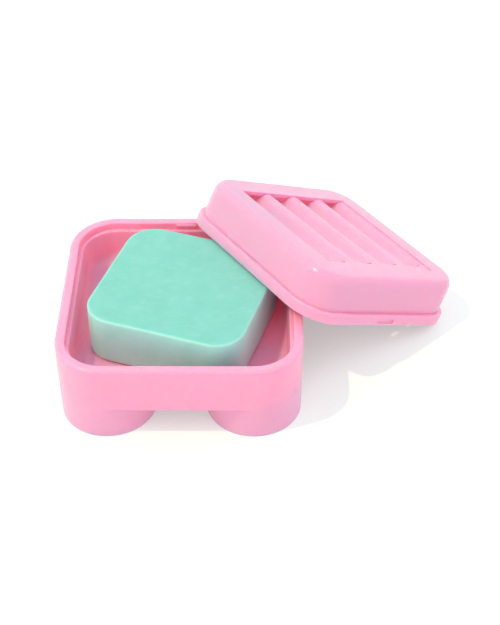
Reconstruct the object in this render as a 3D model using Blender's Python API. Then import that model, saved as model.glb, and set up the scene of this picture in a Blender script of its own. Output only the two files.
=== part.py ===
# Square soap box with a lift-off draining lid and the bar of soap that it holds.
# Both mouldings are one piece each, so the set has three pieces: box, lid and soap_bar.
# The set stands as it is used at the basin: the lid is off, leaning from the bar down to the
# worktop. Its seat values are shared with the box, so the same lid also drops into the rim.

import math

import bmesh
import bpy
import numpy as np
from mathutils import Matrix, Vector

for leftover in list(bpy.data.objects):
    bpy.data.objects.remove(leftover, do_unlink=True)

MM = 0.001

touch_gap = 0.3 * MM            # air left between two pieces that rest on each other

# Box: a square tray on four round corner feet, open under each side between two feet
box_width = 90.0 * MM
box_corner = 17.9 * MM          # plan radius of the corners
rim_height = 32.8 * MM          # worktop to rim
skirt_lift = 13.5 * MM          # open height under the wall, between two feet
rim_outer_edge = 1.1 * MM       # rounding of the rim, outside
rim_inner_edge = 0.9 * MM       # rounding of the rim, inside, across the rim
rim_inner_drop = 0.5 * MM       # the same rounding, down the recess
skirt_edge = 1.0 * MM           # rounding of the wall's lower edge
skirt_wall = 2.4 * MM           # wall that hangs below the tray's floor
rim_land = 3.5 * MM             # rim's full width, outside face to lid recess
seat_depth = 3.0 * MM           # lid's seat below the rim
seat_width = 1.4 * MM           # ledge that the lid stands on
seat_edge = 0.8 * MM            # rounding of the ledge's inner edge
tray_floor = 16.5 * MM          # worktop to the tray's floor
tray_fillet = 5.0 * MM          # sweep from the tray's floor into its wall
tray_draft = 0.6 * MM           # how far the tray's wall leans in on its way down
floor_wall = 2.0 * MM           # thickness of the tray's floor

# Feet: hollow round cups under the corners, flush with the walls
foot_draft = 0.1 * MM           # each foot narrows this much on its way down
foot_flush = 0.1 * MM           # how far a foot stays behind the wall's face above it
foot_edge = 0.4 * MM            # rounding of the foot's lower edge
foot_wall = 2.4 * MM

# Snap beads: one low bar in the middle of the front and back recess walls
bead_length = 8.0 * MM
bead_height = 1.4 * MM
bead_proud = 0.6 * MM
bead_below_rim = 1.4 * MM       # centre of the bead below the rim
bead_edge = 0.4 * MM

# Lid: a deep flanged cap that drops into the rim and stands on the ledge
lid_clearance = 0.25 * MM       # lid's flange to the recess wall, all round
lid_height = 18.5 * MM
lid_wall = 1.8 * MM
lid_plate = 1.6 * MM            # thickness of the lid's top
flange_height = 4.2 * MM
flange_edge = 0.7 * MM          # rounding of the flange's upper edge
flange_step = 1.8 * MM          # flange stands this much outside the dome's wall
dome_draft = 0.2 * MM           # dome's wall leans in on its way up
shoulder_edge = 2.9 * MM        # rounding from the dome's wall into its top, across the top
shoulder_drop = 4.3 * MM        # the same rounding, down the wall
dimple_length = 9.2 * MM        # notch in the flange that takes a snap bead
dimple_height = 2.0 * MM
dimple_depth = 0.6 * MM
dimple_edge = 0.3 * MM

# Drain field: a sunk panel whose valleys slope down to open vents at its far end, each with a
# slot across its shallow near end
field_width = 58.4 * MM         # across the valleys
field_far = 27.6 * MM           # lid's middle to the panel's far end, where the vents are
field_near = 30.7 * MM          # lid's middle to the panel's near end
field_corner = 3.6 * MM         # plan radius of the panel's corners at the near end
field_sunk = 0.55 * MM          # panel below the lid's top
field_wall = 1.6 * MM           # thickness of the panel, measured upright
rib_end = 24.3 * MM             # lid's middle to the valleys' near end
end_ramp = 2.0 * MM             # from the valleys' near end up to the panel's flat
end_depth_share = 0.25          # valleys' depth at their near end, as a share of the depth at the vents
slot_width = 1.7 * MM
slot_bridge = 3.8 * MM          # panel left between two slots, under a crest
valleys = 4
crest_radius = 4.4 * MM
valley_radius = 1.1 * MM
flank_angle = math.radians(49.0)

# Bar of soap
soap_room = 19.3 * MM           # tray's width inside the ledge, less the bar's length
soap_short = 2.7 * MM           # bar's length less its width
soap_height = 20.0 * MM
soap_corner = 11.3 * MM
soap_top_edge = 0.9 * MM
soap_foot_edge = 1.3 * MM
soap_turn = math.radians(-18.5)
soap_right = 0.75 * MM          # bar's middle from the tray's middle
soap_front = 1.3 * MM

# Where the lid lies: its raised edge on the bar, its lower edge on the worktop
lid_heading = math.radians(35.5)  # downhill direction, from +X towards +Y
lid_reach = 24.8 * MM           # tray's middle to the raised edge's line, downhill
lid_slip = 6.8 * MM             # lid's middle to the right of the downhill line

# Facets
corner_steps = 10               # in a quarter turn of a corner or foot
edge_steps = 3                  # in a small rounding
sweep_steps = 6                 # in a large rounding
crest_steps = 4                 # from a crest to a flank
valley_steps = 2                # from a flank to a valley's bottom
field_rows = 8                  # along a valley
overrun = 2.0 * MM              # how far a cutter runs past what it cuts
bite = 0.4 * MM                 # how far a joined shape reaches into its neighbour

# Sizes that follow from the ones above
seat_height = rim_height - seat_depth
floor_underside = tray_floor - floor_wall
tray_width = box_width - 2 * (rim_land + seat_width)
soap_length = tray_width - soap_room
soap_width = soap_length - soap_short
soap_seat = tray_floor + touch_gap
soap_top = soap_seat + soap_height
lid_width = box_width - 2 * (rim_land + lid_clearance)
lid_corner = box_corner - rim_land - lid_clearance
bead_centre = rim_height - bead_below_rim
dimple_centre = bead_centre - seat_height
pitch = field_width / valleys
slot_length = pitch - slot_bridge
foot_radius = box_corner - foot_flush
foot_centre = box_width / 2 - box_corner


def new_object(name, mesh, parent=None):
    thing = bpy.data.objects.new(name, mesh)
    bpy.context.scene.collection.objects.link(thing)
    thing.parent = parent
    return thing


def finish_mesh(name, shape):
    bmesh.ops.recalc_face_normals(shape, faces=shape.faces)
    mesh = bpy.data.meshes.new(name)
    shape.to_mesh(mesh)
    shape.free()
    return mesh


# A square (or oblong) outline with round corners, anticlockwise
def rounded_outline(length, width, corner):
    points = []
    for turn, (side_x, side_y) in enumerate(((1, 1), (-1, 1), (-1, -1), (1, -1))):
        centre_x = side_x * (length / 2 - corner)
        centre_y = side_y * (width / 2 - corner)
        for step in range(corner_steps + 1):
            angle = math.pi / 2 * (turn + step / corner_steps)
            points.append((centre_x + corner * math.cos(angle), centre_y + corner * math.sin(angle)))
    return points


# Stations along a rounding: each is (inset from the outer face, height)
def rounding(inset, height, across, up, first, last, steps):
    stations = []
    for step in range(steps + 1):
        angle = math.radians(first + (last - first) * step / steps)
        stations.append((inset + across * math.cos(angle), height + up * math.sin(angle)))
    return stations


# A closed skin through one outline for each station, with its first and last outline capped
def loft(name, length, width, corner, stations):
    shape = bmesh.new()
    rings = []
    for inset, height in stations:
        outline = rounded_outline(length - 2 * inset, width - 2 * inset, corner - inset)
        rings.append([shape.verts.new((x, y, height)) for x, y in outline])
    count = len(rings[0])
    for lower, upper in zip(rings, rings[1:]):
        for i in range(count):
            j = (i + 1) % count
            shape.faces.new((lower[i], lower[j], upper[j], upper[i]))
    shape.faces.new(rings[0])
    shape.faces.new(rings[-1])
    return finish_mesh(name, shape)


# A ring turned round its own upright axis, from a closed profile of (radius, height) points
def turned(name, profile):
    shape = bmesh.new()
    line = [shape.verts.new((radius, 0, height)) for radius, height in profile]
    edges = [shape.edges.new(pair) for pair in zip(line, line[1:] + line[:1])]
    bmesh.ops.spin(shape, geom=line + edges, cent=(0, 0, 0), axis=(0, 0, 1),
                   angle=math.tau, steps=4 * corner_steps, use_merge=True)
    return finish_mesh(name, shape)


# A block with all its edges rounded
def soft_block(name, size, edge):
    shape = bmesh.new()
    bmesh.ops.create_cube(shape, size=1.0, matrix=Matrix.Diagonal((*size, 1.0)))
    bmesh.ops.bevel(shape, geom=shape.edges[:], offset=edge, segments=2, profile=0.5,
                    affect="EDGES", clamp_overlap=True)
    return finish_mesh(name, shape)


def combine(target, tool, operation):
    joint = target.modifiers.new(operation.title() + " " + tool.name, "BOOLEAN")
    joint.operation = operation
    joint.solver = "EXACT"
    joint.object = tool
    tool.hide_render = True
    tool.display_type = "WIRE"
    tool.parent = target


def plastic(name, colour, roughness):
    material = bpy.data.materials.new(name)
    material.use_nodes = True
    shader = material.node_tree.nodes["Principled BSDF"]
    shader.inputs["Base Color"].default_value = (*colour, 1.0)
    shader.inputs["Roughness"].default_value = roughness
    shader.inputs["Metallic"].default_value = 0.0
    material.diffuse_color = (*colour, 1.0)
    return material


# Tray, rim, ledge and outer wall are one profile carried round the square
def box_stations():
    tray_top = rim_land + seat_width
    tray_foot = tray_top + tray_draft
    stations = rounding(tray_foot + tray_fillet, tray_floor + tray_fillet, tray_fillet, tray_fillet,
                        270, 180, sweep_steps)
    stations += rounding(tray_top - seat_edge, seat_height - seat_edge, seat_edge, seat_edge,
                         0, 90, edge_steps)
    stations.append((rim_land, seat_height))
    stations += rounding(rim_land - rim_inner_edge, rim_height - rim_inner_drop,
                         rim_inner_edge, rim_inner_drop, 0, 90, edge_steps)
    stations += rounding(rim_outer_edge, rim_height - rim_outer_edge, rim_outer_edge, rim_outer_edge,
                         90, 180, edge_steps)
    stations += rounding(skirt_edge, skirt_lift + skirt_edge, skirt_edge, skirt_edge,
                         180, 270, edge_steps)
    stations.append((skirt_wall, skirt_lift))
    stations.append((skirt_wall, floor_underside))
    return stations


# A foot is a ring that opens downwards, its wall running up into the tray's floor
def foot_profile():
    low = foot_radius - foot_draft
    bore = low - foot_wall
    profile = [(bore, floor_underside + bite), (bore, 0)]
    for step in range(edge_steps + 1):
        angle = math.pi / 2 * step / edge_steps
        profile.append((low - foot_edge + foot_edge * math.sin(angle),
                        foot_edge - foot_edge * math.cos(angle)))
    profile.append((foot_radius, floor_underside + bite))
    return profile


def make_box(parent):
    box = new_object("box", loft("box", box_width, box_width, box_corner, box_stations()), parent)
    foot = turned("foot", foot_profile())
    for side_x in (-1, 1):
        for side_y in (-1, 1):
            tool = new_object("foot", foot)
            tool.location = (side_x * foot_centre, side_y * foot_centre, 0)
            combine(box, tool, "UNION")
    bead = soft_block("snap bead", (bead_length, bead_proud + bite, bead_height), bead_edge)
    for side in (-1, 1):
        tool = new_object("snap bead", bead)
        recess = box_width / 2 - rim_land
        tool.location = (0, side * (recess + (bite - bead_proud) / 2), bead_centre)
        combine(box, tool, "UNION")
    return box


# Lid in its own frame: flange's foot at zero, top upwards
def lid_stations():
    dome_top = flange_step + dome_draft
    inner_edge = shoulder_edge - lid_wall
    inner_drop = shoulder_drop - lid_plate
    stations = rounding(dome_top + lid_wall + inner_edge, lid_height - lid_plate - inner_drop,
                        inner_edge, inner_drop, 90, 180, edge_steps)
    stations.append((flange_step + lid_wall, flange_height - lid_wall))
    stations.append((lid_wall, flange_height - lid_wall))
    stations.append((lid_wall, 0))
    stations.append((0, 0))
    stations += rounding(flange_edge, flange_height - flange_edge, flange_edge, flange_edge,
                         180, 90, edge_steps)
    stations.append((flange_step, flange_height))
    stations += rounding(dome_top + shoulder_edge, lid_height - shoulder_drop,
                         shoulder_edge, shoulder_drop, 180, 90, sweep_steps)
    return stations


# Half a wave across the valleys, crest to bottom: (distance from the crest, drop below it)
def half_wave():
    points = []
    for step in range(crest_steps + 1):
        angle = flank_angle * step / crest_steps
        points.append((crest_radius * math.sin(angle), crest_radius * (1 - math.cos(angle))))
    across, drop = points[-1]
    flank = pitch / 2 - across - valley_radius * math.sin(flank_angle)
    bottom = drop + flank * math.tan(flank_angle) + valley_radius * (1 - math.cos(flank_angle))
    for step in range(valley_steps + 1):
        angle = flank_angle * (1 - step / valley_steps)
        points.append((pitch / 2 - valley_radius * math.sin(angle),
                       bottom - valley_radius * (1 - math.cos(angle))))
    return points


# The panel: the wave grows shallower in straight lines from the vents to its near end, and a
# short ramp there brings it up to the flat
def field_mesh():
    wave = half_wave()
    across = []
    for valley in range(valleys):
        start = valley * pitch - field_width / 2
        across += [(start + y, drop) for y, drop in wave]
        across += [(start + pitch - y, drop) for y, drop in reversed(wave[1:-1])]
    across.append((field_width / 2, 0))
    across[0] = (-field_width / 2 - bite, 0)
    across[-1] = (field_width / 2 + bite, 0)
    y, drop = np.array(across).T
    x = np.append(np.linspace(-field_far - bite, rib_end, field_rows),
                  (rib_end + end_ramp, field_near + bite))
    fade = end_depth_share + (1 - end_depth_share) * (rib_end - x) / (rib_end + field_far)
    fade[-2:] = 0
    top = lid_height - field_sunk - np.outer(fade, drop)
    rows, columns = top.shape
    shape = bmesh.new()
    skins = []
    for level in (top, top - field_wall):
        skins.append([[shape.verts.new((x[i], y[j], level[i, j])) for j in range(columns)]
                      for i in range(rows)])
    for skin in skins:
        for i in range(rows - 1):
            for j in range(columns - 1):
                shape.faces.new((skin[i][j], skin[i + 1][j], skin[i + 1][j + 1], skin[i][j + 1]))
    upper, lower = skins
    edge = [(i, 0) for i in range(rows)] + [(rows - 1, j) for j in range(1, columns)]
    edge += [(i, columns - 1) for i in range(rows - 2, -1, -1)] + [(0, j) for j in range(columns - 2, 0, -1)]
    for (i, j), (k, m) in zip(edge, edge[1:] + edge[:1]):
        shape.faces.new((upper[i][j], upper[k][m], lower[k][m], lower[i][j]))
    bmesh.ops.triangulate(shape, faces=shape.faces)
    return finish_mesh("drain field", shape)


# Opening in the lid's top that the panel fills: square at the vents, round corners at the near end
def window_mesh():
    shape = bmesh.new()
    half = field_width / 2
    outline = [(-field_far, half), (-field_far, -half)]
    for side, first in ((-1, -math.pi / 2), (1, 0)):
        for step in range(edge_steps + 1):
            angle = first + math.pi / 2 * step / edge_steps
            outline.append((field_near - field_corner + field_corner * math.cos(angle),
                            side * (half - field_corner) + field_corner * math.sin(angle)))
    low = lid_height - lid_plate - overrun
    base = shape.faces.new([shape.verts.new((x, y, low)) for x, y in outline])
    grown = bmesh.ops.extrude_face_region(shape, geom=[base])
    top = [part for part in grown["geom"] if isinstance(part, bmesh.types.BMVert)]
    bmesh.ops.translate(shape, verts=top, vec=(0, 0, lid_plate + 2 * overrun))
    return finish_mesh("window", shape)


# Upright-sided slots, one across each valley's near end, in the middle of the ramp
def slots_mesh():
    shape = bmesh.new()
    size = Matrix.Diagonal((slot_width, slot_length, 2 * lid_plate + 2 * overrun, 1.0))
    for valley in range(valleys):
        place = Vector((rib_end + end_ramp / 2, (valley + 0.5) * pitch - field_width / 2,
                        lid_height - field_sunk - field_wall))
        bmesh.ops.create_cube(shape, size=1.0, matrix=Matrix.Translation(place) @ size)
    return finish_mesh("slots", shape)


def make_lid(parent):
    lid = new_object("lid", loft("lid", lid_width, lid_width, lid_corner, lid_stations()), parent)
    combine(lid, new_object("window", window_mesh()), "DIFFERENCE")
    combine(lid, new_object("drain field", field_mesh()), "UNION")
    combine(lid, new_object("slots", slots_mesh()), "DIFFERENCE")
    dimple = soft_block("dimple", (2 * dimple_depth, dimple_length, dimple_height), dimple_edge)
    for side in (-1, 1):
        tool = new_object("dimple", dimple)
        tool.location = (side * lid_width / 2, 0, dimple_centre)
        combine(lid, tool, "DIFFERENCE")
    return lid


# The raised edge's inner foot lies on the bar and the lower edge's outer foot on the worktop
def lean_lid(lid):
    tilt = math.asin((soap_top + touch_gap) / (lid_width - lid_wall))
    downhill = Vector((math.cos(lid_heading), math.sin(lid_heading), 0))
    level = Vector((math.sin(lid_heading), -math.cos(lid_heading), 0))
    slope = downhill * math.cos(tilt) - Vector((0, 0, math.sin(tilt)))
    up = level.cross(slope)
    turn = Matrix((level, slope, up)).transposed()
    raised_edge = downhill * lid_reach + level * lid_slip + Vector((0, 0, soap_top + touch_gap))
    lid.matrix_basis = Matrix.Translation(raised_edge + slope * (lid_width / 2 - lid_wall)) @ turn.to_4x4()


def make_soap(parent):
    stations = rounding(soap_foot_edge, soap_foot_edge, soap_foot_edge, soap_foot_edge, 270, 180, edge_steps)
    stations += rounding(soap_top_edge, soap_height - soap_top_edge, soap_top_edge, soap_top_edge,
                         180, 90, edge_steps)
    soap = new_object("soap_bar", loft("soap_bar", soap_length, soap_width, soap_corner, stations), parent)
    soap.location = (soap_right, -soap_front, soap_seat)
    soap.rotation_euler.z = soap_turn
    return soap


# Moves the set so that the origin is under the middle of its footprint
def centre_set(root, pieces):
    bpy.context.view_layer.update()
    graph = bpy.context.evaluated_depsgraph_get()
    points = []
    for piece in pieces:
        mesh = piece.evaluated_get(graph).to_mesh()
        flat = np.empty(3 * len(mesh.vertices))
        mesh.vertices.foreach_get("co", flat)
        world = np.array(piece.matrix_world)
        points.append(flat.reshape(-1, 3) @ world[:3, :3].T + world[:3, 3])
    points = np.vstack(points)
    middle = (points.min(axis=0) + points.max(axis=0)) / 2
    root.location = (-middle[0], -middle[1], 0)


set_root = new_object("soap box set", None)
box = make_box(set_root)
lid = make_lid(set_root)
lean_lid(lid)
soap_bar = make_soap(set_root)
centre_set(set_root, (box, lid, soap_bar))

box.data.materials.append(plastic("pink polypropylene", (0.85, 0.36, 0.55), 0.35))
lid.data.materials.append(plastic("pink polypropylene, lid", (0.87, 0.38, 0.57), 0.35))
soap_bar.data.materials.append(plastic("mint soap", (0.29, 0.76, 0.62), 0.5))
for piece in (box, lid, soap_bar):
    piece.data.shade_smooth()
    piece.data.set_sharp_from_angle(angle=math.radians(30))

bpy.context.view_layer.update()
print("origin moved by", tuple(round(value / MM, 3) for value in set_root.location))
print("lid frame", [[round(value, 5) for value in row] for row in lid.matrix_world])
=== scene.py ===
# Looks of the square soap box: fine meshes of the box, its leaning lid and the bar of soap,
# their plastics and soap, the floor, the light and the camera.
# Lengths in the dictionaries are in millimetres, angles in degrees.

import math

import bpy
import numpy as np
from mathutils import Euler, Matrix, Vector


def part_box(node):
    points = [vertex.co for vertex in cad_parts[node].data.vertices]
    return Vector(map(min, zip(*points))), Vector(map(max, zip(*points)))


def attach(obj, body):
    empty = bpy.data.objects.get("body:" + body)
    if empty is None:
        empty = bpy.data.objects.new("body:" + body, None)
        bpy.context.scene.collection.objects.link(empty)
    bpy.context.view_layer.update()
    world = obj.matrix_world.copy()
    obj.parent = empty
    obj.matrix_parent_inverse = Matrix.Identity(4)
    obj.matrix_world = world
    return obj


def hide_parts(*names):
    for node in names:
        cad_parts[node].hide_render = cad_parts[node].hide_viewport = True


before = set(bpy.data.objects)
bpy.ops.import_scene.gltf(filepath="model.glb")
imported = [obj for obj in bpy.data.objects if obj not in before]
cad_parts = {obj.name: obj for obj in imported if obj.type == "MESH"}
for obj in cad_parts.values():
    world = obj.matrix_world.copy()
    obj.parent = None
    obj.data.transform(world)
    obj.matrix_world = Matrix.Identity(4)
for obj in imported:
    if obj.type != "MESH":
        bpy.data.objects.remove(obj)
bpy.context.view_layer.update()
print("frame loaded")

millimetre = 0.001
touchGap = 0.3  # millimetres of air left between two pieces that rest on each other

lowCorner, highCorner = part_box("box")
boxMiddle = (lowCorner + highCorner) / 2
boxMiddle.z = 0


# Meshes

# Rings of a square or oblong with round corners, one for each (inset, height) station.
# A corner is a quarter circle about a centre that all stations share, so a point is
# centre + (corner - inset) * (cos, sin), and every ring has the same count.
def roundedRings(length, width, corner, stations, cornerSteps):
    inset, height = np.array(stations, float).T
    quarter = np.linspace(0, 90, cornerSteps + 1)
    angle = np.radians(np.concatenate([quarter + turn for turn in (0, 90, 180, 270)]))
    sideX = np.repeat((1, -1, -1, 1), cornerSteps + 1)
    sideY = np.repeat((1, 1, -1, -1), cornerSteps + 1)
    radius = (corner - inset)[:, None]
    x = sideX * (length / 2 - corner) + radius * np.cos(angle)
    y = sideY * (width / 2 - corner) + radius * np.sin(angle)
    z = np.broadcast_to(height[:, None], x.shape)
    return np.stack((x, y, z), axis=-1)


# Rings of a closed (radius, height) profile turned round the upright axis: ring i is the whole
# profile at the angle i / steps of a turn
def turnedRings(profile, steps):
    radius, height = np.array(profile, float).T
    angle = np.linspace(0, 2 * np.pi, steps, endpoint=False)[:, None]
    x = radius * np.cos(angle)
    y = radius * np.sin(angle)
    z = np.broadcast_to(height, x.shape)
    return np.stack((x, y, z), axis=-1)


# Quads between each ring and the next; the last ring also meets the first where closed
def ringQuads(rings, count, closed=False):
    bands = rings if closed else rings - 1
    low, along = np.meshgrid(np.arange(bands), np.arange(count), indexing="ij")
    high = (low + 1) % rings
    after = (along + 1) % count
    quads = np.stack((low * count + along, low * count + after,
                      high * count + after, high * count + along), axis=-1)
    return quads.reshape(-1, 4).tolist()


# A mesh from points in millimetres, in rows of any shape, and faces that number them in order
def makeMesh(name, points, faces):
    mesh = bpy.data.meshes.new(name)
    metres = np.asarray(points, float).reshape(-1, 3) * millimetre
    mesh.from_pydata(metres.tolist(), [], faces)
    mesh.validate()
    return mesh


# A closed skin through rings, its first and last ring capped
def loft(name, rings):
    count = rings.shape[1]
    faces = ringQuads(len(rings), count)
    faces.append(list(range(count))[::-1])
    faces.append([(len(rings) - 1) * count + i for i in range(count)])
    return makeMesh(name, rings, faces)


# A closed skin through a turned profile, which needs no caps
def turned(name, profile, steps):
    rings = turnedRings(profile, steps)
    faces = ringQuads(steps, rings.shape[1], closed=True)
    return makeMesh(name, rings, faces)


# Stations along a rounding, each (inset, height): centre + (across * cos, up * sin) from first
# to last, where up is the same as across unless given
def arc(inset, height, across, first, last, steps, up=None):
    angle = np.radians(np.linspace(first, last, steps + 1))
    return list(zip(inset + across * np.cos(angle), height + (up or across) * np.sin(angle)))


# A bar with all its edges rounded, its middle at the origin: rounded rings from foot to top
def softBar(name, length, width, height, edge, steps):
    stations = arc(edge, edge - height / 2, edge, 270, 180, steps)
    stations += arc(edge, height / 2 - edge, edge, 180, 90, steps)
    return loft(name, roundedRings(length, width, edge, stations, steps))


# The base mesh with each tool added or cut, worked out once and kept as a plain mesh.
# A tool is (mesh, place, operation).
def worked(name, base, tools):
    things = [bpy.data.objects.new(name, base)]
    bpy.context.scene.collection.objects.link(things[0])
    for tool, place, operation in tools:
        thing = bpy.data.objects.new(tool.name, tool)
        thing.location = Vector(place) * millimetre
        bpy.context.scene.collection.objects.link(thing)
        boolean = things[0].modifiers.new(tool.name, "BOOLEAN")
        boolean.operation = operation
        boolean.solver = "EXACT"
        boolean.object = thing
        things.append(thing)
    bpy.context.view_layer.update()
    graph = bpy.context.evaluated_depsgraph_get()
    mesh = bpy.data.meshes.new_from_object(things[0].evaluated_get(graph))
    mesh.name = name
    for thing in things:
        bpy.data.objects.remove(thing, do_unlink=True)
    return mesh


# Puts a mesh in its place in the frame, shades it and lets it stand for its CAD node
def setPiece(name, mesh, place, material, body, node, sharpAngle):
    mesh.transform(place)
    mesh.materials.clear()
    mesh.materials.append(material)
    mesh.shade_smooth()
    mesh.set_sharp_from_angle(angle=math.radians(sharpAngle))
    piece = bpy.data.objects.new(name, mesh)
    bpy.context.scene.collection.objects.link(piece)
    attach(piece, body)
    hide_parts(node)
    print(name, "has", sum(len(face.vertices) - 2 for face in mesh.polygons), "triangles")


# Materials

# The linear colour, with alpha, of an sRGB hex value
def linear(hexColour):
    channels = [int(hexColour[i:i + 2], 16) / 255 for i in (1, 3, 5)]
    return [c / 12.92 if c <= 0.04045 else ((c + 0.055) / 1.055) ** 2.4 for c in channels] + [1.0]


# Adds a node with its settings; a link is socket name or number: another node's output
def addNode(tree, kind, settings=(), values=(), links=()):
    node = tree.nodes.new(kind)
    for key, value in dict(settings).items():
        setattr(node, key, value)
    for key, value in dict(values).items():
        node.inputs[key].default_value = value
    for key, output in dict(links).items():
        tree.links.new(output, node.inputs[key])
    return node


def newMaterial(name):
    material = bpy.data.materials.new(name)
    material.use_nodes = True
    material.node_tree.nodes.clear()
    return material


# Injection moulded polypropylene, pale pink: waxy satin, a little light passes through thin walls
pinkPlastic = dict(
    colour="#ff9fbe",
    roughness=0.25,
    ior=1.49,
    waxDepth=8.0,                     # how far red light travels in the wall
    waxByColour=(1.0, 0.12, 0.18),    # share of that depth for red, green and blue light
    waxShare=1.0,
)


def makePinkPolypropylene():
    material = newMaterial("moulded polypropylene, pale pink")
    tree = material.node_tree
    shader = addNode(tree, "ShaderNodeBsdfPrincipled", values={
        "Base Color": linear(pinkPlastic["colour"]),
        "Roughness": pinkPlastic["roughness"],
        "IOR": pinkPlastic["ior"],
        "Subsurface Weight": pinkPlastic["waxShare"],
        "Subsurface Radius": pinkPlastic["waxByColour"],
        "Subsurface Scale": pinkPlastic["waxDepth"] * millimetre,
    })
    addNode(tree, "ShaderNodeOutputMaterial", links={"Surface": shader.outputs["BSDF"]})
    return material


# Bar of soap: an oblong with round corners and small edge roundings, turned in the tray
soap = dict(
    length=60.9, width=58.2, height=20.0, corner=11.3,
    topEdge=0.9, footEdge=1.3, turn=-18.5, right=0.75, front=1.3,
    cornerSteps=40, edgeSteps=12, sharpAngle=50,
)


# Pressed toilet soap, mint green: dense, waxy and dull, faintly marbled from milling
mintSoap = dict(
    topColour="#72b8ad",
    topPaleColour="#86c6bd",
    # The sides are paler than the top: painted light, standing in for light from the tray's pink
    # walls and light through the bar
    sideColour="#94d2c6",
    sidePaleColour="#b4dfd8",
    # Paler colour of the top edge's band, partly a painted highlight and partly rubbed wear; also
    # of the foot's band and the flecks
    glintWearAndFleckColour="#a8cfc8",
    edgeLow=1.0,        # how far below the top the paler edge begins: partly a painted highlight, partly rubbed wear
    edgeHigh=0.5,       # and where it is palest
    footEdge=1.4,       # how high the paler band at the bar's foot reaches
    marblingSize=7.0,
    marblingDetail=3.0,
    marblingRoughness=0.6,
    fleckSize=2.2,
    fleckDetail=2.0,
    fleckLength=1.8,    # how many times longer than wide a fleck is
    fleckFrom=0.55,     # noise value at which a fleck begins
    fleckFull=0.75,     # and at which it is palest
    fleckShare=0.2,     # how pale the flecks are
    roughness=0.45,
    ior=1.47,
    waxDepth=4.0,       # how far green light travels in the bar
    waxByColour=(0.6, 1.0, 0.9),    # share of that depth for red, green and blue light
    waxShare=1.0,
)


# Colour by height: a paler band at the foot, the side, a paler band at the top edge and the top's
# own colour, with clouds on the side and the top and faint flecks over all. The side is paler than
# the top as painted light from the tray's walls and through the bar; the top edge's band is partly
# a painted highlight, partly rubbed wear.
def makePressedSoap(bottom, top):
    m = mintSoap
    colourMix = {"data_type": "RGBA"}
    glintWearAndFleckColour = linear(m["glintWearAndFleckColour"])
    material = newMaterial("pressed toilet soap, mint green")
    tree = material.node_tree
    place = addNode(tree, "ShaderNodeTexCoord").outputs["Object"]

    clouds = addNode(tree, "ShaderNodeTexNoise",
                     values={"Scale": 1 / (m["marblingSize"] * millimetre),
                             "Detail": m["marblingDetail"],
                             "Roughness": m["marblingRoughness"]},
                     links={"Vector": place})
    drawn = addNode(tree, "ShaderNodeMapping",
                    values={"Rotation": (0, 0, math.radians(soap["turn"])),
                            "Scale": (1 / m["fleckLength"], 1, 1)},
                    links={"Vector": place})
    flecks = addNode(tree, "ShaderNodeTexNoise",
                     values={"Scale": 1 / (m["fleckSize"] * millimetre),
                             "Detail": m["fleckDetail"]},
                     links={"Vector": drawn.outputs["Vector"]})
    fleckHere = addNode(tree, "ShaderNodeMapRange",
                        values={"From Min": m["fleckFrom"], "From Max": m["fleckFull"],
                                "To Max": m["fleckShare"]},
                        links={"Value": flecks.outputs["Fac"]})

    upright = addNode(tree, "ShaderNodeSeparateXYZ", links={"Vector": place}).outputs["Z"]
    palest = top - m["edgeHigh"] * millimetre
    heights = (
        (bottom, bottom + m["footEdge"] * millimetre),
        (top - m["edgeLow"] * millimetre, palest),
        (palest, top),
    )
    offFoot, onEdge, onTop = [
        addNode(tree, "ShaderNodeMapRange", settings={"interpolation_type": "SMOOTHSTEP"},
                values={"From Min": low, "From Max": high}, links={"Value": upright})
        for low, high in heights
    ]

    # Side colour paler than the top's: painted light from the tray's walls and through the bar
    sideFace, topFace = [
        addNode(tree, "ShaderNodeMix", settings=colourMix,
                values={"A": linear(m[plain]), "B": linear(m[pale])},
                links={"Factor": clouds.outputs["Fac"]})
        for plain, pale in (("sideColour", "sidePaleColour"), ("topColour", "topPaleColour"))
    ]
    side = addNode(tree, "ShaderNodeMix", settings=colourMix, values={"A": glintWearAndFleckColour},
                   links={"Factor": offFoot.outputs["Result"], "B": sideFace.outputs["Result"]})
    # The top edge's paler band: partly a painted highlight, partly rubbed wear
    glintAndWearEdge = addNode(tree, "ShaderNodeMix", settings=colourMix, values={"B": glintWearAndFleckColour},
                   links={"Factor": onEdge.outputs["Result"], "A": side.outputs["Result"]})
    whole = addNode(tree, "ShaderNodeMix", settings=colourMix,
                    links={"Factor": onTop.outputs["Result"], "A": glintAndWearEdge.outputs["Result"],
                           "B": topFace.outputs["Result"]})
    surface = addNode(tree, "ShaderNodeMix", settings=colourMix, values={"B": glintWearAndFleckColour},
                      links={"Factor": fleckHere.outputs["Result"], "A": whole.outputs["Result"]})
    shader = addNode(tree, "ShaderNodeBsdfPrincipled", values={
        "Roughness": m["roughness"],
        "IOR": m["ior"],
        "Subsurface Weight": m["waxShare"],
        "Subsurface Radius": m["waxByColour"],
        "Subsurface Scale": m["waxDepth"] * millimetre,
    }, links={"Base Color": surface.outputs["Result"]})
    addNode(tree, "ShaderNodeOutputMaterial", links={"Surface": shader.outputs["BSDF"]})
    return material


# Opal acrylic of a light table, lit from below: shadows on it stay pale. Its glow is darkened near
# and under the object, where the air above is closed off: painted shade.
opalAcrylic = dict(
    colour="#b1adab",
    glowColour="#bcc3c1",
    # Colour the glow falls to where the object shuts in the floor: painted shade
    paintedShadeColour="#8a9f9c",
    paintedShadeReach=120.0,     # how near the object has to be for the painted shade to darken the floor
    dimmest=0.05,       # open share of the air above at which the floor is at its dimmest
    brightest=0.38,     # and from which it glows in full
)


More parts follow.
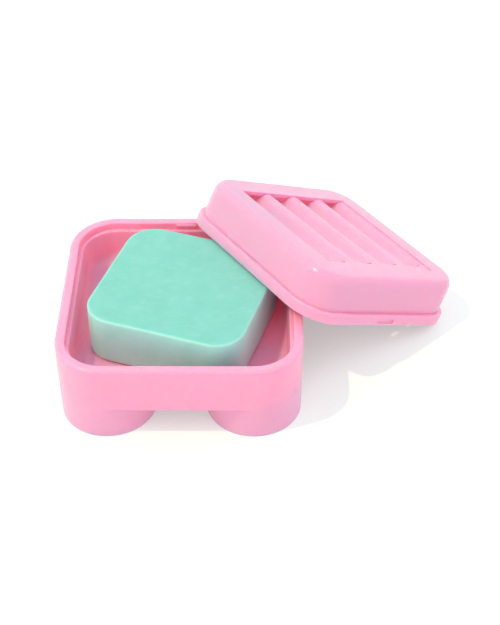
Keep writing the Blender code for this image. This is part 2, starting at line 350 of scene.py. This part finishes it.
def makeOpalAcrylic():
    a = opalAcrylic
    material = newMaterial("opal acrylic, lit from below")
    tree = material.node_tree
    surface = addNode(tree, "ShaderNodeBsdfDiffuse", values={"Color": linear(a["colour"])})
    # Painted shade: the glow falls towards the shade colour where the object closes off the air
    # above
    air = addNode(tree, "ShaderNodeAmbientOcclusion",
                  values={"Distance": a["paintedShadeReach"] * millimetre})
    openness = addNode(tree, "ShaderNodeMapRange",
                       values={"From Min": a["dimmest"], "From Max": a["brightest"]},
                       links={"Value": air.outputs["AO"]})
    glow = addNode(tree, "ShaderNodeMix", settings={"data_type": "RGBA"},
                   values={"A": linear(a["paintedShadeColour"]), "B": linear(a["glowColour"])},
                   links={"Factor": openness.outputs["Result"]})
    lamp = addNode(tree, "ShaderNodeEmission", links={"Color": glow.outputs["Result"]})
    both = addNode(tree, "ShaderNodeAddShader",
                   links={0: surface.outputs["BSDF"], 1: lamp.outputs["Emission"]})
    addNode(tree, "ShaderNodeOutputMaterial", links={"Surface": both.outputs["Shader"]})
    return material


# Box: a square tray on four round corner feet, open under each side between two feet
box = dict(
    width=90.0, corner=17.9,
    rimHeight=32.8, skirtLift=13.5,    # both above the worktop
    rimOuterEdge=1.1, rimInnerEdge=0.9, rimInnerDrop=0.5, skirtEdge=0.5, skirtWall=2.4,
    rimLand=3.5, seatDepth=3.0, seatWidth=1.4, seatEdge=0.8,    # the seat carries the closed lid
    trayFloor=16.5, trayFillet=5.0, trayDraft=0.6, floorWall=2.0,
    footDraft=0.1, footFlush=0.01, footEdge=0.4, footWall=2.4,
    footSeam=0.2,    # how far below the skirt a foot's draft ends
    beadLength=8.0, beadHeight=1.4, beadProud=0.6, beadBelowRim=1.4, beadEdge=0.4,
    bite=0.4,        # how far an added form runs into what carries it
    cornerSteps=40, edgeSteps=8, sweepSteps=20, footSteps=144, sharpAngle=32,
)


# Tray, rim, ledge and outer wall as one profile
def boxStations():
    b = box
    seat = b["rimHeight"] - b["seatDepth"]
    trayTop = b["rimLand"] + b["seatWidth"]
    trayFoot = trayTop + b["trayDraft"]
    stations = arc(trayFoot + b["trayFillet"], b["trayFloor"] + b["trayFillet"], b["trayFillet"],
                   270, 180, b["sweepSteps"])
    stations += arc(trayTop - b["seatEdge"], seat - b["seatEdge"], b["seatEdge"],
                    0, 90, b["edgeSteps"])
    stations.append((b["rimLand"], seat))
    stations += arc(b["rimLand"] - b["rimInnerEdge"], b["rimHeight"] - b["rimInnerDrop"],
                    b["rimInnerEdge"], 0, 90, b["edgeSteps"], up=b["rimInnerDrop"])
    stations += arc(b["rimOuterEdge"], b["rimHeight"] - b["rimOuterEdge"], b["rimOuterEdge"],
                    90, 180, b["edgeSteps"])
    stations += arc(b["skirtEdge"], b["skirtLift"] + b["skirtEdge"], b["skirtEdge"],
                    180, 270, b["edgeSteps"])
    stations.append((b["skirtWall"], b["skirtLift"]))
    stations.append((b["skirtWall"], b["trayFloor"] - b["floorWall"]))
    return stations


# A foot opens downwards and runs up into the tray's floor
def footProfile():
    b = box
    outer = b["corner"] - b["footFlush"]
    low = outer - b["footDraft"]
    bore = low - b["footWall"]
    top = b["trayFloor"] - b["floorWall"] + b["bite"]
    profile = [(bore, top), (bore, 0)]
    profile += arc(low - b["footEdge"], b["footEdge"], b["footEdge"], 270, 360, b["edgeSteps"])
    profile.append((outer, b["skirtLift"] - b["footSeam"]))
    profile.append((outer, top))
    return profile


def makeBox(material):
    b = box
    rings = roundedRings(b["width"], b["width"], b["corner"], boxStations(), b["cornerSteps"])
    tray = loft("tray", rings)
    foot = turned("foot", footProfile(), b["footSteps"])
    bead = softBar("snap bead", b["beadLength"], b["beadProud"] + b["bite"], b["beadHeight"],
                   b["beadEdge"], b["edgeSteps"])
    reach = b["width"] / 2 - b["corner"]
    recess = b["width"] / 2 - b["rimLand"]
    beadY = recess + (b["bite"] - b["beadProud"]) / 2
    beadZ = b["rimHeight"] - b["beadBelowRim"]
    tools = [(foot, (x * reach, y * reach, 0), "UNION") for x in (-1, 1) for y in (-1, 1)]
    tools += [(bead, (0, y * beadY, beadZ), "UNION") for y in (-1, 1)]
    mesh = worked("box_moulding", tray, tools)
    place = Matrix.Translation(boxMiddle)
    setPiece("box_moulding", mesh, place, material, "box", "box", b["sharpAngle"])


# Lid, in its own frame: the flange's foot at zero, the drain field's valleys along x
lid = dict(
    clearance=0.3,    # air on each side between the flange and the box's recess
    height=18.48, wall=1.8, plate=1.6,
    flangeHeight=4.2, flangeEdge=0.7, flangeStep=1.8,
    domeDraft=0.2, shoulderEdge=2.9, shoulderDrop=4.3,
    dimpleLength=9.2, dimpleHeight=2.0, dimpleDepth=0.6, dimpleEdge=0.3,
    fieldWidth=58.4, fieldFar=27.6, fieldNear=30.7, fieldCorner=3.6, fieldSunk=0.55, fieldWall=1.6,
    valleys=4, crestRadius=4.4, valleyRadius=1.1, flankAngle=49.0,
    ribEnd=24.3, endRamp=1.7, endDepthShare=0.25, slotWidth=1.4, slotBridge=5.6,
    heading=35.5,             # which way the lid leans down, turned from the box's right
    reach=24.8, slip=6.8,     # middle of its raised edge from the box's middle, along and across
    bite=0.4, overrun=2.0,    # how far a tool runs into or past what it works on
    cornerSteps=40, edgeSteps=8, sweepSteps=18, crestSteps=12, valleySteps=6, fieldRows=24,
    sharpAngle=32,
)


# Hollow, flange, drawn-in side and elliptical shoulder as one profile, from inside to outside
def lidStations():
    p = lid
    domeTop = p["flangeStep"] + p["domeDraft"]
    innerEdge = p["shoulderEdge"] - p["wall"]
    innerDrop = p["shoulderDrop"] - p["plate"]
    stations = arc(domeTop + p["wall"] + innerEdge, p["height"] - p["plate"] - innerDrop, innerEdge,
                   90, 180, p["sweepSteps"], up=innerDrop)
    stations.append((p["flangeStep"] + p["wall"], p["flangeHeight"] - p["wall"]))
    stations.append((p["wall"], p["flangeHeight"] - p["wall"]))
    stations.append((p["wall"], 0))
    stations.append((0, 0))
    stations += arc(p["flangeEdge"], p["flangeHeight"] - p["flangeEdge"], p["flangeEdge"],
                    180, 90, p["edgeSteps"])
    stations.append((p["flangeStep"], p["flangeHeight"]))
    stations += arc(domeTop + p["shoulderEdge"], p["height"] - p["shoulderDrop"], p["shoulderEdge"],
                    180, 90, p["sweepSteps"], up=p["shoulderDrop"])
    return stations


# Half a wave across the valleys, from a crest to a bottom, as (distance, drop): an arc of
# crestRadius, a straight flank at flankAngle and an arc of valleyRadius
def halfWave():
    p = lid
    steep = math.radians(p["flankAngle"])
    pitch = p["fieldWidth"] / p["valleys"]
    angle = np.linspace(0, steep, p["crestSteps"] + 1)
    distance = p["crestRadius"] * np.sin(angle)
    drop = p["crestRadius"] * (1 - np.cos(angle))
    flank = pitch / 2 - distance[-1] - p["valleyRadius"] * math.sin(steep)
    bottom = drop[-1] + flank * math.tan(steep) + p["valleyRadius"] * (1 - math.cos(steep))
    angle = np.linspace(steep, 0, p["valleySteps"] + 1)
    distance = np.append(distance, pitch / 2 - p["valleyRadius"] * np.sin(angle))
    drop = np.append(drop, bottom - p["valleyRadius"] * (1 - np.cos(angle)))
    return distance, drop


# The panel is a grid over x and y: its height is the lid's top less fieldSunk less
# fade(x) * drop(y), where fade falls in a straight line from 1 at the vents to endDepthShare at
# the valleys' near end and with a smooth step to 0 over the end ramp. Its underside is
# fieldWall below.
def fieldMesh():
    p = lid
    distance, drop = halfWave()
    pitch = p["fieldWidth"] / p["valleys"]
    oneValley = np.concatenate((distance, pitch - distance[-2:0:-1]))
    oneDrop = np.concatenate((drop, drop[-2:0:-1]))
    y = np.concatenate([oneValley + i * pitch for i in range(p["valleys"])] + [[p["fieldWidth"]]])
    y = y - p["fieldWidth"] / 2
    drop = np.append(np.tile(oneDrop, p["valleys"]), 0)
    y[0] -= p["bite"]
    y[-1] += p["bite"]
    ramp = np.linspace(0, 1, p["edgeSteps"] + 1)[1:]
    x = np.concatenate((np.linspace(-p["fieldFar"] - p["bite"], p["ribEnd"], p["fieldRows"]),
                        p["ribEnd"] + p["endRamp"] * ramp, [p["fieldNear"] + p["bite"]]))
    share = p["endDepthShare"]
    fade = share + (1 - share) * (p["ribEnd"] - x) / (p["ribEnd"] + p["fieldFar"])
    fade[p["fieldRows"]:-1] = share * (1 - ramp * ramp * (3 - 2 * ramp))
    fade[-1] = 0
    top = p["height"] - p["fieldSunk"] - np.outer(fade, drop)
    rows, columns = top.shape
    gridX, gridY = np.meshgrid(x, y, indexing="ij")
    points = np.concatenate([np.stack((gridX, gridY, level), axis=-1).reshape(-1, 3)
                             for level in (top, top - p["fieldWall"])])
    i, j = np.meshgrid(np.arange(rows - 1), np.arange(columns - 1), indexing="ij")
    corner = i * columns + j
    skin = np.stack((corner, corner + columns, corner + columns + 1, corner + 1), axis=-1)
    skin = skin.reshape(-1, 4)
    low = skin[:, ::-1] + rows * columns
    number = np.arange(rows * columns).reshape(rows, columns)
    border = np.concatenate((number[:, 0], number[-1, 1:], number[-2::-1, -1], number[0, -2:0:-1]))
    after = np.roll(border, -1)
    wall = np.stack((border, border + rows * columns, after + rows * columns, after), axis=-1)
    quads = np.concatenate((skin, low, wall))
    triangles = np.concatenate((quads[:, (0, 1, 2)], quads[:, (0, 2, 3)]))
    return makeMesh("drain field", points, triangles.tolist())


# Opening in the lid's top that the panel fills: square at the vents, round corners at the near end
def windowMesh():
    p = lid
    half = p["fieldWidth"] / 2
    quarter = np.radians(np.linspace(0, 90, p["edgeSteps"] + 1))
    cornerX = p["fieldNear"] - p["fieldCorner"] + p["fieldCorner"] * np.cos(quarter)
    cornerY = half - p["fieldCorner"] + p["fieldCorner"] * np.sin(quarter)
    x = np.concatenate(([-p["fieldFar"]] * 2, cornerX[::-1], cornerX))
    y = np.concatenate(([half, -half], -cornerY[::-1], cornerY))
    heights = (p["height"] - p["plate"] - p["overrun"], p["height"] + p["overrun"])
    rings = np.stack([np.stack((x, y, np.full(len(x), z)), axis=-1) for z in heights])
    return loft("window", rings)


# Upright-sided slots, one across each valley's near end
def slotsMesh():
    p = lid
    pitch = p["fieldWidth"] / p["valleys"]
    halfLength = (pitch - p["slotBridge"]) / 2
    cornerX = np.array((-1, 1, 1, -1)) * p["slotWidth"] / 2 + p["ribEnd"] + p["endRamp"] / 2
    cornerY = np.array((-1, -1, 1, 1)) * halfLength
    middleY = (np.arange(p["valleys"]) + 0.5) * pitch - p["fieldWidth"] / 2
    bottom = p["height"] - p["fieldSunk"] - p["fieldWall"] - p["plate"] - p["overrun"]
    heights = (bottom, p["height"] + p["overrun"])
    rings = np.stack([np.stack((cornerX, cornerY + y, np.full(4, z)), axis=-1)
                      for y in middleY for z in heights])
    oneSlot = np.array(ringQuads(2, 4) + [[3, 2, 1, 0], [4, 5, 6, 7]])
    firstPoint = 8 * np.arange(p["valleys"])
    faces = (oneSlot + firstPoint[:, None, None]).reshape(-1, 4)
    return makeMesh("slots", rings, faces.tolist())


# The raised edge's inner foot lies on the bar and the lower edge's outer foot on the worktop
def lidPlace(lidWidth, soapTop):
    p = lid
    tilt = math.asin((soapTop + touchGap) / (lidWidth - p["wall"]))
    heading = math.radians(p["heading"])
    downhill = Vector((math.cos(heading), math.sin(heading), 0))
    level = Vector((math.sin(heading), -math.cos(heading), 0))
    slope = downhill * math.cos(tilt) - Vector((0, 0, math.sin(tilt)))
    up = level.cross(slope)
    raisedEdge = downhill * p["reach"] + level * p["slip"] + Vector((0, 0, soapTop + touchGap))
    middle = (raisedEdge + slope * (lidWidth / 2 - p["wall"])) * millimetre
    return Matrix.Translation(boxMiddle + middle) @ Matrix((level, slope, up)).transposed().to_4x4()


def makeLid(material):
    p = lid
    lidWidth = box["width"] - 2 * (box["rimLand"] + p["clearance"])
    lidCorner = box["corner"] - box["rimLand"] - p["clearance"]
    rings = roundedRings(lidWidth, lidWidth, lidCorner, lidStations(), p["cornerSteps"])
    cap = loft("cap", rings)
    dimple = softBar("dimple", p["dimpleLength"], 2 * p["dimpleDepth"], p["dimpleHeight"],
                     p["dimpleEdge"], p["edgeSteps"])
    dimple.transform(Matrix.Rotation(math.pi / 2, 4, "Z"))
    dimpleCentre = box["seatDepth"] - box["beadBelowRim"]
    mesh = worked("lid_moulding", cap, [
        (windowMesh(), (0, 0, 0), "DIFFERENCE"),
        (fieldMesh(), (0, 0, 0), "UNION"),
        (slotsMesh(), (0, 0, 0), "DIFFERENCE"),
        (dimple, (-lidWidth / 2, 0, dimpleCentre), "DIFFERENCE"),
        (dimple, (lidWidth / 2, 0, dimpleCentre), "DIFFERENCE"),
    ])
    place = lidPlace(lidWidth, box["trayFloor"] + touchGap + soap["height"])
    setPiece("lid_moulding", mesh, place, material, "lid", "lid", p["sharpAngle"])


# The bar lies on the tray's floor, a little right of and in front of its middle
def makeSoap(material):
    s = soap
    stations = arc(s["footEdge"], s["footEdge"], s["footEdge"], 270, 180, s["edgeSteps"])
    stations += arc(s["topEdge"], s["height"] - s["topEdge"], s["topEdge"], 180, 90, s["edgeSteps"])
    rings = roundedRings(s["length"], s["width"], s["corner"], stations, s["cornerSteps"])
    mesh = loft("soap_cake", rings)
    offset = Vector((s["right"], -s["front"], box["trayFloor"] + touchGap)) * millimetre
    turn = Matrix.Rotation(math.radians(s["turn"]), 4, "Z")
    place = Matrix.Translation(boxMiddle + offset) @ turn
    setPiece("soap_cake", mesh, place, material, "soap", "soap_bar", s["sharpAngle"])


pink = makePinkPolypropylene()
makeBox(pink)
makeLid(pink)
soapBottom = (box["trayFloor"] + touchGap) * millimetre
makeSoap(makePressedSoap(soapBottom, soapBottom + soap["height"] * millimetre))
print("pieces made")


# Floor, light and camera
studio = dict(
    floorSize=6000.0,
    skyColour="#ecf8ff",
    skyStrength=1.22,
    sunColour="#fff9ba",
    sunStrength=1.5,
    sunTravel=(0.58, 0.22, -1.0),    # which way the key light goes
    sunWidth=1.0,                    # how wide it looks from the object, which softens its shadow
    cameraPlace=(-3.637, -397.430, 351.704),    # camera fitted to the outlines in the photo
    cameraTilt=48.966,
    cameraTurn=0.123,
    cameraLens=75.81,
)


def makeStudio():
    s = studio
    half = s["floorSize"] / 2
    corners = [(-half, -half, 0), (half, -half, 0), (half, half, 0), (-half, half, 0)]
    floor = bpy.data.objects.new("floor", makeMesh("floor", corners, [(0, 1, 2, 3)]))
    floor.data.materials.append(makeOpalAcrylic())
    bpy.context.scene.collection.objects.link(floor)

    world = bpy.data.worlds.new("white studio")
    world.use_nodes = True
    world.node_tree.nodes.clear()
    sky = addNode(world.node_tree, "ShaderNodeBackground",
                  values={"Color": linear(s["skyColour"]), "Strength": s["skyStrength"]})
    addNode(world.node_tree, "ShaderNodeOutputWorld", links={"Surface": sky.outputs["Background"]})
    bpy.context.scene.world = world

    sun = bpy.data.lights.new("key light", "SUN")
    sun.energy = s["sunStrength"]
    sun.angle = math.radians(s["sunWidth"])
    sun.color = linear(s["sunColour"])[:3]
    lamp = bpy.data.objects.new("key light", sun)
    lamp.rotation_mode = "QUATERNION"
    lamp.rotation_quaternion = Vector(s["sunTravel"]).to_track_quat("-Z", "Y")
    bpy.context.scene.collection.objects.link(lamp)

    camera = bpy.data.cameras.new("camera")
    camera.lens = s["cameraLens"]
    eye = bpy.data.objects.new("camera", camera)
    eye.location = Vector(s["cameraPlace"]) * millimetre
    eye.rotation_euler = Euler((math.radians(s["cameraTilt"]), 0, math.radians(s["cameraTurn"])))
    bpy.context.scene.collection.objects.link(eye)
    bpy.context.scene.camera = eye
    bpy.context.scene.view_settings.view_transform = "Standard"


makeStudio()
print("floor, light and camera made")
